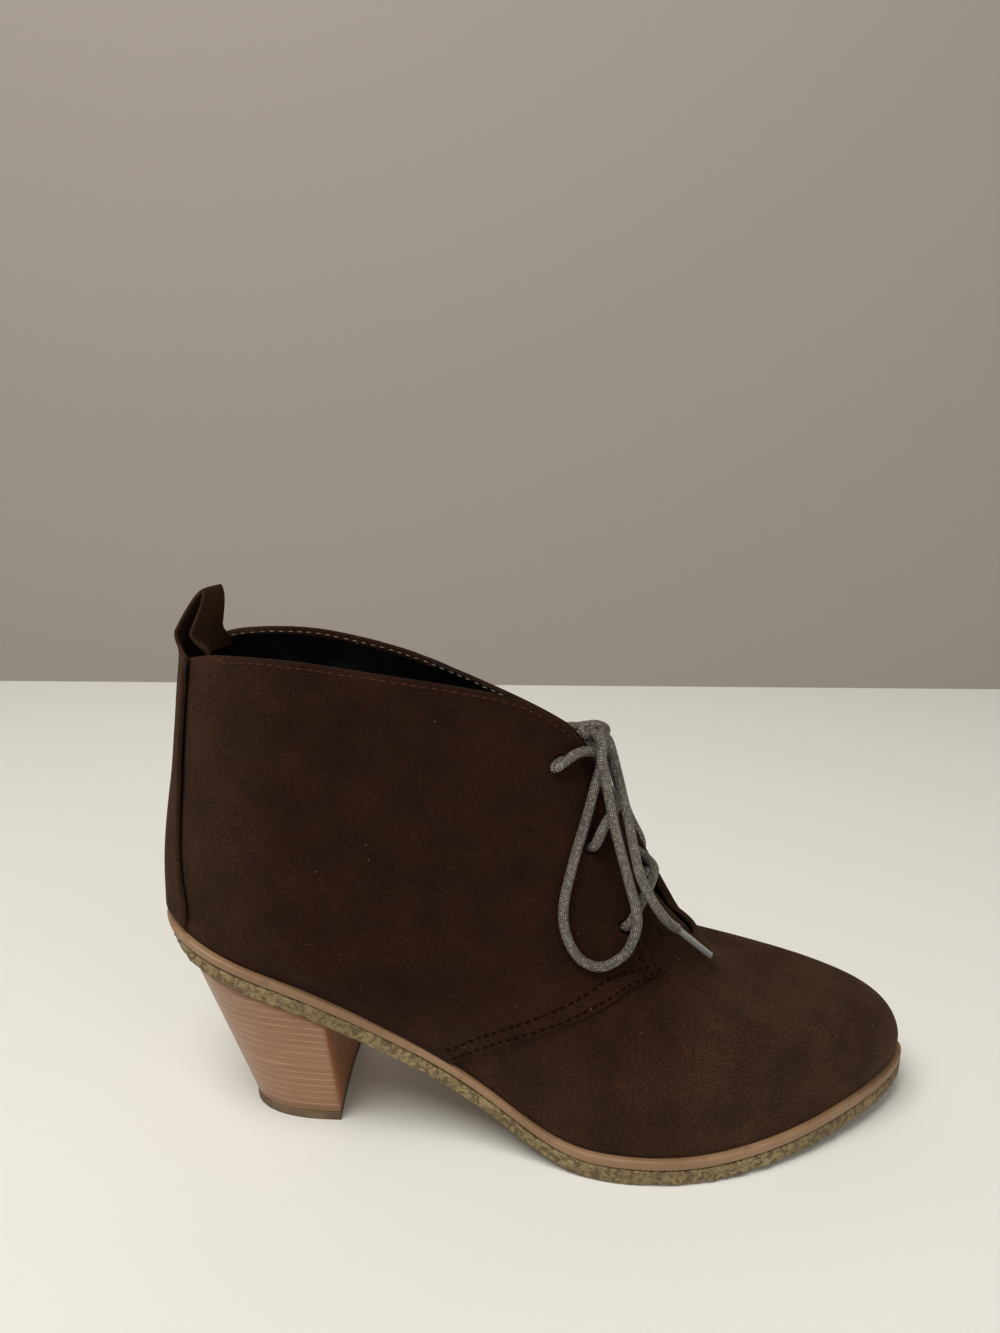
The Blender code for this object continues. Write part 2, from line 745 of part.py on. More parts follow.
def build_pull_strap():
    """Strap up the back seam, which folds over into a pull loop and ends inside the collar."""
    shade = material("strap_nap", (0.060, 0.032, 0.020), 0.95)
    across = 8
    outer, inner = [], []
    for level in [0.03] + [i / ROWS for i in range(1, ROWS + 1)]:
        width = STRAP_WIDTH + (STRAP_FOOT_WIDTH - STRAP_WIDTH) * (1 - level) ** 1.4
        outer_row, inner_row = [], []
        for j in range(across + 1):
            offset = width * (j / across - 0.5)
            side = LATERAL if offset < 0 else MEDIAL
            turn = math.pi
            if 2 * j != across:
                turn = on_side(side, turn_at_half_width(side, level, abs(offset), False))
            inner_row.append(offset_skin(turn, level, 2 * GAP))
            outer_row.append(offset_skin(turn, level, 2 * GAP + STRAP))
        outer.append(outer_row)
        inner.append(inner_row)

    collar = skin(math.pi, 1.0)
    path = [Vector((collar.x + fold.forward, AXIS_Y, collar.z + fold.rise * LOOP_HEIGHT)) for fold in PULL_LOOP]
    edge_lag = outer[-1][0].x - outer[-1][across // 2].x
    for i, middle in enumerate(path):
        before = path[i - 1] if i else Vector((collar.x - 2 * GAP - STRAP / 2, AXIS_Y, collar.z))
        after = path[i + 1] if i + 1 < len(path) else middle + (middle - before)
        along = (after - before).normalized()
        half_thick = Vector((-along.z, 0.0, along.x)) * STRAP / 2
        outer_row, inner_row = [], []
        for j in range(across + 1):
            share = 2 * j / across - 1
            bow = edge_lag * PULL_LOOP[i].bow * share * share
            place = middle + Vector((bow, STRAP_WIDTH / 2 * share, 0.0))
            outer_row.append(place + half_thick)
            inner_row.append(place - half_thick)
        outer.append(outer_row)
        inner.append(inner_row)
    return sheet_solid("pull_strap", shade, outer, inner)


# The lace

def smooth_path(places, spacing):
    """Evenly spaced points on a smooth curve through the places."""
    before = [places[0] * 2 - places[1]] + places
    after = places + [places[-1] * 2 - places[-2]]
    dense = [places[0]]
    for i in range(len(places) - 1):
        a, b, c, d = before[i], places[i], places[i + 1], after[i + 2]
        for u in (k / 16 for k in range(1, 17)):
            bend = (a * 2 - b * 5 + c * 4 - d) * u + (d - a + (b - c) * 3) * u * u
            dense.append(b + ((c - a) + bend) * u / 2)
    run = [0.0]
    for a, b in zip(dense, dense[1:]):
        run.append(run[-1] + (b - a).length)
    steps = max(1, round(run[-1] / spacing))
    path = []
    for k in range(steps + 1):
        i = min(range(len(run)), key=lambda i: abs(run[i] - run[-1] * k / steps))
        path.append(dense[i])
    return path


def tube(name, shade, path, diameter):
    """A solid with eight sides round a path of points."""
    rings = []
    across = (path[1] - path[0]).orthogonal()
    for i, place in enumerate(path):
        along = (path[min(i + 1, len(path) - 1)] - path[max(i - 1, 0)]).normalized()
        across = (across - along * across.dot(along)).normalized()
        up = along.cross(across)
        angles = [math.pi * k / 4 for k in range(8)]
        rings.append([place + (across * math.cos(a) + up * math.sin(a)) * diameter / 2 for a in angles])
    return ladder_solid(name, shade, rings)


def cord(name, shade, path, diameter):
    curve = bpy.data.curves.new(name, "CURVE")
    curve.dimensions = "3D"
    curve.bevel_depth = diameter / 2
    curve.bevel_resolution = 2
    curve.use_fill_caps = True
    spline = curve.splines.new("POLY")
    spline.points.add(len(path) - 1)
    for point, place in zip(spline.points, path):
        point.co = (*place, 1.0)
    curve.materials.append(shade)
    bpy.context.collection.objects.link(bpy.data.objects.new(name, curve))


def build_crossings(shade):
    """Two crossed pairs of strands, each pair joined where they cross."""
    for low, high, name in zip(EYELETS, EYELETS[1:], ("lace_cross_lower", "lace_cross_upper")):
        strands = []
        for side in (LATERAL, MEDIAL):
            path = [offset_skin(eyelet_turn(side, low), low.level, LACE / 2 + 3 * GAP)]
            for strand in CROSSING:
                level = low.level + (high.level - low.level) * strand.rise
                at = side if strand.share > 0 else -side
                turn = abs(strand.share) * facing_turn(at, level)
                path.append(offset_skin(on_side(at, turn), level, strand.out * LACE))
            strands.append(tube(name, shade, smooth_path(path, LACE), LACE))
        first, second = strands
        second.name = name + "_second_strand"
        cut(first, second)
        first.modifiers[-1].operation = "UNION"


def build_knot(shade, middle):
    """The bow's knot as one rounded lump, with its long way from side to side."""
    rings = []
    for i in range(1, 8):
        lean = math.pi * i / 8
        ring = []
        for angle in (math.pi * k / 5 for k in range(10)):
            forward = KNOT_LENGTH / 2 * math.sin(lean) * math.cos(angle)
            up = KNOT_HEIGHT / 2 * math.sin(lean) * math.sin(angle)
            ring.append(middle + Vector((forward, KNOT_WIDTH / 2 * math.cos(lean), up)))
        rings.append(ring)
    return ladder_solid("lace_knot", shade, rings)


def build_lace():
    shade = material("waxed_cord", (0.160, 0.155, 0.150), 0.7)
    clear = material("clear_aglet", (0.60, 0.58, 0.55), 0.15)
    knot = skin(0.0, 1.0) + Vector(KNOT_PLACE) * UNIT

    def path(places, spacing):
        return smooth_path([knot + Vector(place) * UNIT for place in places], spacing)

    build_crossings(shade)
    build_knot(shade, knot)
    tube("lace_top", shade, path(TOP_STRAND, LACE), LACE)
    cord("lace_loop_lateral", shade, path(LATERAL_LOOP, 2.3 * LACE), LACE)
    cord("lace_loop_medial", shade, path(MEDIAL_LOOP, 2.3 * LACE), LACE)
    cord("lace_end_lateral", shade, path(LATERAL_END, 2.3 * LACE), LACE)
    cord("lace_end_medial", shade, path(MEDIAL_END, 2.3 * LACE), LACE)
    cord("aglet_lateral", clear, path(LATERAL_AGLET, 4 * AGLET), AGLET)
    cord("aglet_medial", clear, path(MEDIAL_AGLET, 4 * AGLET), AGLET)


for old in list(bpy.data.objects):
    bpy.data.objects.remove(old, do_unlink=True)

build_outsole()
build_midsole()
build_insole()
build_heel()
build_top_piece()
build_upper()
build_tongue()
build_pull_strap()
build_lace()
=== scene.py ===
# Heeled lace-up ankle boot for the right foot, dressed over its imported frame.
# Metres, +Z up, +X to the toe, -Y the outer side, which faces the camera.
import math

import bmesh
import bpy
import numpy as np
from mathutils import Matrix, Vector
from mathutils.bvhtree import BVHTree


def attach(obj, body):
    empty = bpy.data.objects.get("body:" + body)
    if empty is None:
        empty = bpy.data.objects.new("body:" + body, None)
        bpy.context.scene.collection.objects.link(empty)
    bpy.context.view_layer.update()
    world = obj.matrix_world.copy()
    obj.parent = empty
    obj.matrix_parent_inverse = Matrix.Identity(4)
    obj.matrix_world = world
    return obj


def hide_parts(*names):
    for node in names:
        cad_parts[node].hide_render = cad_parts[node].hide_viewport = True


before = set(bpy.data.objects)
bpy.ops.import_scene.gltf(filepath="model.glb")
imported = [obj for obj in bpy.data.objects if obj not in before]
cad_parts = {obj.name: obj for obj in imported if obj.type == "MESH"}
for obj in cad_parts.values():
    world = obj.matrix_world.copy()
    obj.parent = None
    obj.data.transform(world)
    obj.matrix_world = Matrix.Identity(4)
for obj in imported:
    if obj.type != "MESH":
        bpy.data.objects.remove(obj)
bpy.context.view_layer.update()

# Camera
# It stands in front of the boot's outer side at about the height of a tabletop photograph,
# pitched down 15.4 degrees, with the lens that the floor and the sole's outline fit.
camera_data = bpy.data.cameras.new("camera")
camera_data.sensor_fit = "VERTICAL"
camera_data.sensor_height = 36.0
camera_data.lens = 27.03
camera = bpy.data.objects.new("camera", camera_data)
camera.location = (-0.00527, -0.28713, 0.2253)
camera.rotation_euler = (math.radians(90 - 15.4), 0.0, math.radians(1.7))
bpy.context.collection.objects.link(camera)
bpy.context.scene.camera = camera


# Laces
# Round waxed cotton braid of 3 mm, grey with pale flecks. It runs through three pairs of
# eyelets, crosses twice over the tongue, and is tied in a bow with short ends.
LACE = 0.0030


def mm(*places):
    return [Vector(place) / 1000 for place in places]


def smooth_line(places, spacing):
    """Evenly spaced points on a smooth curve through the places."""
    before = [places[0] * 2 - places[1]] + places
    after = places + [places[-1] * 2 - places[-2]]
    dense = [places[0]]
    for i in range(len(places) - 1):
        a, b, c, d = before[i], places[i], places[i + 1], after[i + 2]
        for u in (k / 16 for k in range(1, 17)):
            bend = (a * 2 - b * 5 + c * 4 - d) * u + (d - a + (b - c) * 3) * u * u
            dense.append(b + ((c - a) + bend) * u / 2)
    run = np.cumsum([0.0] + [(b - a).length for a, b in zip(dense, dense[1:])])
    at = np.linspace(0, run[-1], max(2, round(run[-1] / spacing) + 1))
    table = np.array([tuple(p) for p in dense])
    return [Vector(p) for p in np.stack([np.interp(at, run, table[:, k]) for k in range(3)], 1)]


def round_cord(name, path, diameter, material, sides=12, closed=False):
    """A tube along a path, with rounded ends and a UV map: u round it, v along it."""
    mesh = bmesh.new()
    uv = mesh.loops.layers.uv.new("along")
    radius = diameter / 2
    across = (path[1] - path[0]).orthogonal()
    centres, sizes = list(path), [1.0] * len(path)
    if not closed:
        first, last = (path[0] - path[1]).normalized(), (path[-1] - path[-2]).normalized()
        centres = [path[0] + first * radius * 0.45, path[0] + first * radius * 0.3] + centres
        centres += [path[-1] + last * radius * 0.3, path[-1] + last * radius * 0.45]
        sizes = [0.35, 0.8] + sizes + [0.8, 0.35]
    rings, run = [], [0.0]
    for i, place in enumerate(centres):
        low, high = max(i - 1, 0), min(i + 1, len(centres) - 1)
        if closed:
            low, high = i - 1, (i + 1) % len(centres)
        along = (centres[high] - centres[low]).normalized()
        across = (across - along * across.dot(along)).normalized()
        up = along.cross(across)
        angles = [2 * math.pi * k / sides for k in range(sides)]
        ring = [across * math.cos(a) + up * math.sin(a) for a in angles]
        rings.append([mesh.verts.new(place + r * radius * sizes[i]) for r in ring])
        if i:
            run.append(run[-1] + (place - centres[i - 1]).length / (math.pi * diameter))
    pairs = list(zip(range(len(rings) - 1), range(1, len(rings))))
    if closed:
        pairs.append((len(rings) - 1, 0))
    for i, j in pairs:
        v0, v1 = run[i], run[j] if j else run[i] + (run[1] - run[0])
        for k in range(sides):
            m = (k + 1) % sides
            face = mesh.faces.new((rings[i][k], rings[i][m], rings[j][m], rings[j][k]))
            for loop, place in zip(face.loops, ((k, v0), (k + 1, v0), (k + 1, v1), (k, v1))):
                loop[uv].uv = (place[0] / sides, place[1])
    if not closed:
        mesh.faces.new(list(reversed(rings[0])))
        mesh.faces.new(rings[-1])
    bmesh.ops.recalc_face_normals(mesh, faces=mesh.faces)
    data = bpy.data.meshes.new(name)
    mesh.to_mesh(data)
    mesh.free()
    data.materials.append(material)
    data.shade_smooth()
    piece = bpy.data.objects.new(name, data)
    bpy.context.collection.objects.link(piece)
    return piece


def paint(red, green, blue):
    """A colour given as it looks on a screen, 0 to 255."""
    shares = [c / 255 for c in (red, green, blue)]
    return tuple(((c + 0.055) / 1.055) ** 2.4 if c > 0.04 else c / 12.92 for c in shares) + (1.0,)


class Finish:
    """A material with its nodes, written from the shader outwards."""

    def __init__(self, name, colour, roughness):
        self.material = bpy.data.materials.new(name)
        self.material.use_nodes = True
        self.nodes, self.links = self.material.node_tree.nodes, self.material.node_tree.links
        self.shader = self.nodes["Principled BSDF"]
        self.set("Base Color", colour)
        self.set("Roughness", roughness)
        self.coords = self.nodes.new("ShaderNodeTexCoord")

    def set(self, socket, value):
        self.shader.inputs[socket].default_value = value

    def node(self, kind, inputs=(), **facts):
        made = self.nodes.new("ShaderNode" + kind)
        for key, value in facts.items():
            setattr(made, key, value)
        for key, value in dict(inputs).items():
            if isinstance(value, bpy.types.NodeSocket):
                self.links.new(value, made.inputs[key])
            else:
                made.inputs[key].default_value = value
        return made

    def math(self, operation, a, b=0.0, clamp=False):
        return self.node("Math", {0: a, 1: b}, operation=operation, use_clamp=clamp).outputs[0]

    def noise(self, scale, detail=2.0, place=None, distortion=0.0, roughness=0.5):
        facts = {"Vector": place or self.coords.outputs["Object"], "Scale": scale, "Detail": detail}
        facts.update({"Distortion": distortion, "Roughness": roughness})
        return self.node("TexNoise", facts).outputs["Fac"]

    def span(self, value, low, high, to_low=0.0, to_high=1.0):
        facts = {"Value": value, 1: low, 2: high, 3: to_low, 4: to_high}
        return self.node("MapRange", facts, interpolation_type="SMOOTHSTEP").outputs[0]

    def mix(self, share, a, b, blend="MIX"):
        made = self.node("Mix", data_type="RGBA", blend_type=blend)
        for socket, value in ((made.inputs[0], share), (made.inputs[6], a), (made.inputs[7], b)):
            if isinstance(value, bpy.types.NodeSocket):
                self.links.new(value, socket)
            else:
                socket.default_value = value
        return made.outputs[2]

    def colour(self, socket):
        self.links.new(socket, self.shader.inputs["Base Color"])

    def rough(self, socket):
        self.links.new(socket, self.shader.inputs["Roughness"])

    def bump(self, height, distance, strength=1.0):
        made = self.node("Bump", {"Height": height, "Distance": distance, "Strength": strength})
        if self.shader.inputs["Normal"].is_linked:
            self.links.new(self.shader.inputs["Normal"].links[0].from_socket, made.inputs["Normal"])
        self.links.new(made.outputs[0], self.shader.inputs["Normal"])


braid = Finish("grey_waxed_braid", paint(124, 113, 100), 0.5)
braid.set("Coat Weight", 0.25)
braid.set("Coat Roughness", 0.35)
PLAITS_ROUND, PLAITS_ALONG = 8, 9
braid_uv = braid.node("SeparateXYZ", {0: braid.coords.outputs["UV"]})
braid_round = braid.math("MULTIPLY", braid_uv.outputs[0], PLAITS_ROUND * 2 * math.pi)
braid_along = braid.math("MULTIPLY", braid_uv.outputs[1], PLAITS_ALONG * 2 * math.pi)
braid_left = braid.math("SINE", braid.math("ADD", braid_round, braid_along))
braid_right = braid.math("SINE", braid.math("SUBTRACT", braid_round, braid_along))
braid_height = braid.math("MULTIPLY", braid_left, braid_right)
braid.bump(braid_height, 0.00030, 1.0)
pale_fibres = braid.span(braid.noise(1100.0, 1.0), 0.47, 0.60)
fleck = braid.math("MULTIPLY", pale_fibres, braid.span(braid_height, -0.1, 0.5))
worn =braid.mix(braid.span(braid.noise(60.0, 2.0), 0.35, 0.7), paint(116, 106, 96), paint(148, 137, 124))
# The hollows between the plaits are painted dark, with the plait pattern as the mask: painted shade.
braid_with_painted_shade = braid.mix(braid.span(braid_height, -0.5, 0.3), paint(58, 51, 44), worn)
braid.colour(braid.mix(braid.math("MULTIPLY", fleck, 0.8), braid_with_painted_shade, paint(215, 206, 190)))

# Each crossing is two strands, one from each side's eyelet, in mm. The top strand joins the
# upper pair of eyelets under the bow.
CORD_STEP = 0.0010
crossing_routes = {
    "lace_cross_lower": (
        mm((21.8, -13.8, 69.0), (24.0, -18.0, 70.8), (25.4, -20.4, 73.2), (28.8, -17.6, 78.6),
           (32.4, -10.0, 81.4), (34.4, -1.4, 81.6), (32.8, 4.2, 82.2), (30.4, 7.2, 83.2),
           (26.8, 9.2, 84.6), (24.5, 10.7, 86.2)),
        mm((30.6, 14.1, 65.1), (33.1, 18.0, 66.9), (34.3, 19.6, 68.4), (34.8, 14.0, 74.6),
           (34.0, 8.2, 76.2), (32.2, 2.2, 78.4), (30.6, -2.4, 81.2), (28.6, -4.8, 83.6),
           (24.8, -6.5, 86.3), (20.8, -8.4, 88.9)),
    ),
    "lace_cross_upper": (
        mm((11.5, -10.5, 93.6), (13.7, -14.8, 95.0), (15.0, -17.2, 97.4), (17.6, -14.8, 102.2),
           (21.0, -9.0, 105.2), (22.0, -1.2, 104.8), (20.4, 4.2, 105.4), (18.4, 6.8, 106.4),
           (14.6, 8.2, 108.0), (11.6, 9.4, 110.0)),
        mm((13.8, 13.9, 90.9), (16.0, 18.1, 92.5), (17.4, 19.7, 94.0), (21.4, 12.6, 98.4),
           (21.6, 7.4, 99.6), (20.2, 2.0, 101.6), (18.6, -1.2, 104.2), (16.8, -3.0, 106.6),
           (13.8, -4.2, 109.2), (11.2, -5.4, 112.3)),
    ),
}
for node, routes in crossing_routes.items():
    for route, name in zip(routes, ("from_outer", "from_inner")):
        strand = round_cord(f"{node}_{name}", smooth_line(route, CORD_STEP), LACE, braid.material)
        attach(strand, "root")
        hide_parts(node)

top_route = mm((6.2, -8.0, 121.2), (4.2, -11.4, 120.7), (2.5, -14.6, 119.9), (3.4, -15.2, 120.4),
               (5.6, -13.9, 121.5), (8.5, -12.6, 123.2), (11.8, -9.6, 123.2), (15.4, -6.7, 121.8),
               (17.2, -2.5, 120.2), (17.3, 1.9, 119.5), (17.0, 6.0, 118.8), (15.4, 12.0, 117.6),
               (9.8, 17.6, 116.6), (4.6, 19.2, 116.6), (2.9, 17.4, 116.3), (1.2, 13.6, 115.4))
top_strand = round_cord("lace_top_strand", smooth_line(top_route, CORD_STEP), LACE, braid.material)
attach(top_strand, "root")
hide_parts("lace_top")

# The knot is two closed turns of the lace, drawn a little tighter: one goes round the bow's
# loops as an arch, and the second binds its foot. Sizes are half widths in mm.
KNOT_MIDDLE = Vector((0.0144, 0.0009, 0.1258))
KNOT_LACE = 0.0029
KNOT_STEPS = 64
right, up, near = Vector((1.0, 0.03, 0.0)), Vector((0.0, 0.26, 0.96)), Vector((0.03, -0.96, 0.26))
down_right = right * 0.7 - up * 0.7
knot_turns = {"lace_knot_arch": [], "lace_knot_binding": []}
for step in range(KNOT_STEPS):
    t = 2 * math.pi * step / KNOT_STEPS
    wide, high, deep = 3.5 * math.cos(t) + 0.3, 1.9 * math.sin(t) + 0.2, 0.9 * math.sin(2 * t) + 0.5
    arch = right * wide + up * high + near * deep
    knot_turns["lace_knot_arch"].append(KNOT_MIDDLE + arch / 1000)
    binding = near * 2.6 * math.cos(t) + down_right * 1.9 * math.sin(t) + right * 0.4 - up * 1.0
    knot_turns["lace_knot_binding"].append(KNOT_MIDDLE + binding / 1000)
for name, line in knot_turns.items():
    turn_of_cord = round_cord(name, line, KNOT_LACE, braid.material, closed=True)
    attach(turn_of_cord, "root")
    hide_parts("lace_knot")

aglet_clear = Finish("clear_aglet", paint(196, 192, 188), 0.12)
aglet_clear.set("Transmission Weight", 0.55)
aglet_clear.set("IOR", 1.45)
aglet_clear.bump(aglet_clear.noise(500.0, 1.0), 0.00008)

# The bow's two loops and two ends hang free from the knot. Each end's last 12 to 20 mm is
# pressed thin in a clear plastic sleeve.
AGLET_LACE, AGLET_SLEEVE = 0.0013, 0.0021
free_cords = {
    "lace_loop_lateral": mm(
        (14.6, -2.6, 126.4), (15.4, -4.8, 126.4), (16.6, -9.0, 124.8), (16.3, -12.2, 121.5),
        (17.9, -13.7, 114.0), (20.4, -17.8, 102.0), (23.9, -19.9, 89.1), (26.6, -22.7, 79.4),
        (26.9, -24.1, 73.3), (23.8, -24.1, 65.1), (16.6, -27.1, 62.6), (10.1, -27.8, 65.8),
        (6.2, -26.9, 73.1), (5.5, -24.9, 81.3), (8.1, -21.0, 92.5), (11.9, -15.9, 104.1),
        (14.6, -11.5, 113.0), (16.4, -7.6, 118.4), (16.0, -3.4, 123.0)),
    "lace_loop_medial": mm(
        (14.6, 4.0, 126.0), (16.6, 6.8, 125.8), (18.4, 10.4, 122.8), (20.9, 13.7, 113.8),
        (23.9, 19.5, 101.8), (28.4, 20.8, 89.8), (32.4, 18.5, 81.8), (31.9, 20.2, 75.8),
        (26.9, 22.5, 75.8), (22.9, 24.1, 82.8), (19.4, 22.7, 94.8), (17.0, 18.3, 107.8),
        (17.4, 17.2, 115.8), (17.0, 11.4, 120.4), (15.8, 5.4, 123.6)),
    "lace_end_lateral": mm(
        (16.6, -0.6, 126.4), (18.8, -2.7, 124.2), (20.2, -4.6, 120.2), (22.4, -6.6, 111.8),
        (24.2, -12.6, 104.3), (26.0, -17.6, 95.9), (27.9, -20.9, 88.5), (31.6, -22.1, 81.2),
        (36.2, -20.5, 74.2), (39.8, -16.9, 69.7)),
    "lace_end_medial": mm(
        (13.6, 3.8, 125.8), (13.0, 6.5, 125.8), (10.8, 14.2, 122.8), (5.6, 20.7, 120.0),
        (0.2, 22.9, 114.0), (-1.8, 23.9, 105.6), (-2.9, 26.2, 97.8), (-4.1, 28.6, 90.8)),
}
aglet_places = {
    "lateral": mm((39.6, -17.0, 69.9), (40.3, -16.3, 69.0), (46.0, -12.0, 62.3), (52.1, -7.6, 55.2)),
    "medial": mm((-4.0, 28.4, 91.2), (-4.2, 28.8, 90.0), (-4.9, 30.0, 84.0), (-5.6, 31.2, 78.3)),
}
aglets = {}
for side, places in aglet_places.items():
    tip = smooth_line(places, CORD_STEP)
    core = round_cord(f"aglet_{side}_lace_tip", tip, AGLET_LACE, braid.material)
    sleeve = round_cord(f"aglet_{side}_sleeve", tip, AGLET_SLEEVE, aglet_clear.material)
    aglets[side] = [core, sleeve]
    for piece in aglets[side]:
        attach(piece, "root")
    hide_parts(f"aglet_{side}")
for node, places in free_cords.items():
    path = smooth_line(places, CORD_STEP)
    cord = round_cord(node + "_braid", path, LACE, braid.material)
    side = node.split("_")[-1]
    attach(cord, "root")
    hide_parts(node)


# Upper
# Vamp and quarters of brown microsuede over a black lining, cut, sewn and pulled over the
# last. The quarters lie on the vamp with a raw edge and two rows of stitches.
def select_only(piece):
    bpy.ops.object.select_all(action="DESELECT")
    piece.select_set(True)
    bpy.context.view_layer.objects.active = piece


def fresh_copy(node, name, crease=0.9, levels=2, sharp=40):
    """A copy of a CAD node, merged and in quads, with its sharp edges kept when it is smoothed."""
    piece = bpy.data.objects.new(name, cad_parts[node].data.copy())
    piece.data.materials.clear()
    bpy.context.collection.objects.link(piece)
    select_only(piece)
    bpy.ops.object.mode_set(mode="EDIT")
    bpy.ops.mesh.select_all(action="SELECT")
    bpy.ops.mesh.remove_doubles(threshold=2e-5)
    bpy.ops.mesh.tris_convert_to_quads(face_threshold=math.radians(50), shape_threshold=math.radians(70))
    bpy.ops.mesh.select_all(action="DESELECT")
    bpy.ops.mesh.select_mode(type="EDGE")
    bpy.ops.mesh.edges_select_sharp(sharpness=math.radians(sharp))
    bpy.ops.transform.edge_crease(value=crease)
    bpy.ops.object.mode_set(mode="OBJECT")
    if levels:
        smoother = piece.modifiers.new("smooth", "SUBSURF")
        smoother.levels = smoother.render_levels = levels
        smoother.boundary_smooth = "PRESERVE_CORNERS"
    return piece


def apply_all(piece):
    select_only(piece)
    for modifier in list(piece.modifiers):
        bpy.ops.object.modifier_apply(modifier=modifier.name)
    piece.data.shade_smooth()


# Points in the middle of the boot's inside, which tell the lining from the outside.
SPINE = np.array([(-92, 2, 84), (-70, 2, 92), (-40, 2, 84), (-5, 2, 62), (25, 2, 40), (55, 3, 27),
                  (90, 6, 23), (-60, 2, 150), (-55, 2, 120), (-30, 2, 110), (-10, 2, 95)]) / 1000
MIDDLE_Y = 0.00225


def away_from_inside(points):
    """Unit directions out of the boot at points of its walls."""
    nearest = SPINE[np.argmin(((points[:, None] - SPINE[None]) ** 2).sum(2), axis=1)]
    away = points - nearest
    return away / np.linalg.norm(away, axis=1)[:, None]


def points_of(mesh):
    flat = np.empty(len(mesh.vertices) * 3)
    mesh.vertices.foreach_get("co", flat)
    return flat.reshape(-1, 3)


def put_points(mesh, points):
    mesh.vertices.foreach_set("co", points.reshape(-1))
    mesh.update()


def vectors_of(elements, fact):
    """The centre or the normal of each face or vertex, one row each."""
    return np.array([tuple(getattr(element, fact)) for element in elements])


def suede(name, tint=1.0):
    """Brown microsuede: short nap with mottling, lighter and more olive to the heel and the toe."""
    finish = Finish(name, paint(50, 33, 24), 0.95)
    finish.set("Specular IOR Level", 0.12)
    finish.set("Sheen Weight", 0.09)
    finish.set("Sheen Roughness", 0.45)
    finish.set("Sheen Tint", paint(170, 125, 90))
    place = finish.node("SeparateXYZ", {0: finish.coords.outputs["Object"]})
    before_heel = finish.span(place.outputs[0], -0.112, -0.060)
    behind_toe = finish.span(place.outputs[0], 0.060, 0.025)
    red_zone = finish.math("MULTIPLY", finish.math("MULTIPLY", before_heel, behind_toe), 0.80)
    cloudy = finish.math("MULTIPLY", finish.noise(28.0, 3.0), 0.5)
    tone = finish.math("ADD", red_zone, cloudy, True)
    olive = tuple(c * tint for c in paint(57, 38, 25)[:3]) + (1.0,)
    red = tuple(c * tint for c in paint(40, 20, 12)[:3]) + (1.0,)
    base = finish.mix(tone, olive, red)
    low = finish.span(place.outputs[2], 0.060, 0.015)
    base = finish.mix(finish.math("MULTIPLY", low, 0.32), base, paint(78, 56, 38))

    # The nap lies this way and that in brushed patches, and its tips catch the light in grains.
    brushed = finish.noise(75.0, 5.0, distortion=0.3)
    darker = finish.mix(1.0, base, (0.78, 0.78, 0.78, 1), "MULTIPLY")
    lighter = finish.mix(1.0, base, (1.22, 1.20, 1.18, 1), "MULTIPLY")
    base = finish.mix(finish.span(brushed, 0.30, 0.70), darker, lighter)
    grain = finish.noise(1500.0, 3.0, roughness=0.7)
    darker = finish.mix(1.0, base, (0.62, 0.62, 0.62, 1), "MULTIPLY")
    lighter = finish.mix(1.0, base, (1.50, 1.48, 1.42, 1), "MULTIPLY")
    base = finish.mix(finish.span(grain, 0.36, 0.74), darker, lighter)
    lint = finish.node("TexVoronoi", {"Vector": finish.coords.outputs["Object"], "Scale": 130.0})
    lint_share = finish.math("MULTIPLY", finish.span(lint.outputs["Distance"], 0.045, 0.02), 0.4)
    base = finish.mix(lint_share, base, paint(130, 112, 92))
    finish.colour(base)
    finish.bump(brushed, 0.0006, 0.30)
    finish.bump(grain, 0.0002, 0.6)
    return finish.material


lining = Finish("black_lining", paint(9, 9, 9), 0.3)
lining.set("Coat Weight", 0.15)
lining.set("Coat Roughness", 0.2)
lining.rough(lining.span(lining.noise(70.0, 3.0), 0.3, 0.7, 0.20, 0.36))
lining.bump(lining.noise(900.0, 3.0), 0.00012, 0.6)

upper_suede = suede("brown_microsuede")
upper = fresh_copy("upper", "upper_dressed", levels=0)
upper.data.materials.append(upper_suede)
upper.data.materials.append(lining.material)
centres = vectors_of(upper.data.polygons, "center")
normals = vectors_of(upper.data.polygons, "normal")
is_lining = (away_from_inside(centres) * normals).sum(1) < -0.25
for face, lined in zip(upper.data.polygons, is_lining):
    face.material_index = int(lined)
smoother = upper.modifiers.new("smooth", "SUBSURF")
smoother.levels = smoother.render_levels = 2
apply_all(upper)

